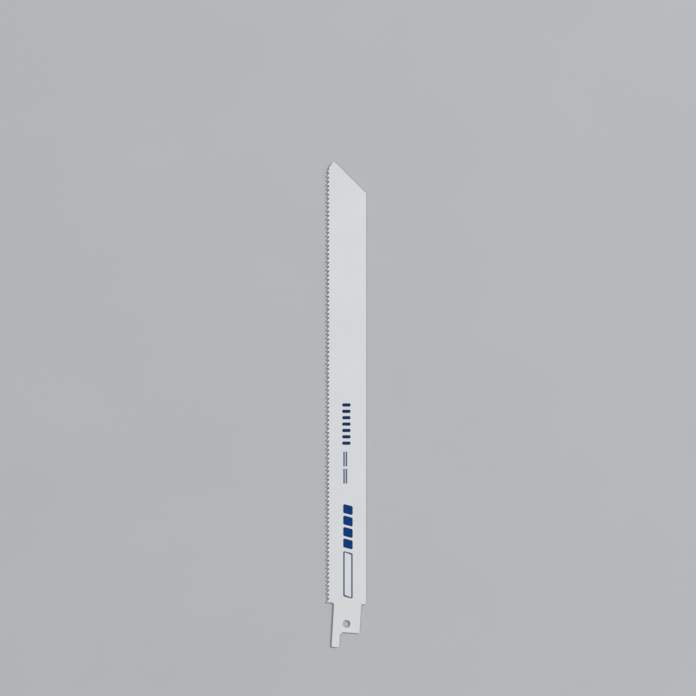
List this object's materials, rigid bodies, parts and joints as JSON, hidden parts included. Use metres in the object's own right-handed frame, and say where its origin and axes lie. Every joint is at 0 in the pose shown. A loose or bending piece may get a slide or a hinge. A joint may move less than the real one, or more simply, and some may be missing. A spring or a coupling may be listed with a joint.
{
  "type": "reciprocating saw blade",
  "caption": "Long flat toothed steel blade with a slanted nose, alternately set teeth and a canted shank with a round hole and an end prong.",
  "frame": {"origin": "centre of the shank's hole, at half the blade's thickness", "axes": "+Y along the blade towards its nose, +X towards its plain back edge, so the teeth point to -X, and +Z through the thickness, out of the side with the print"},
  "size_m": [0.0184, 0.228, 0.0014],
  "materials": {
    "blade": "white semi-gloss enamel over steel, teeth included"
  },
  "bodies": {
    "root": {"saw_blade": "blade"}
  },
  "joints": []
}
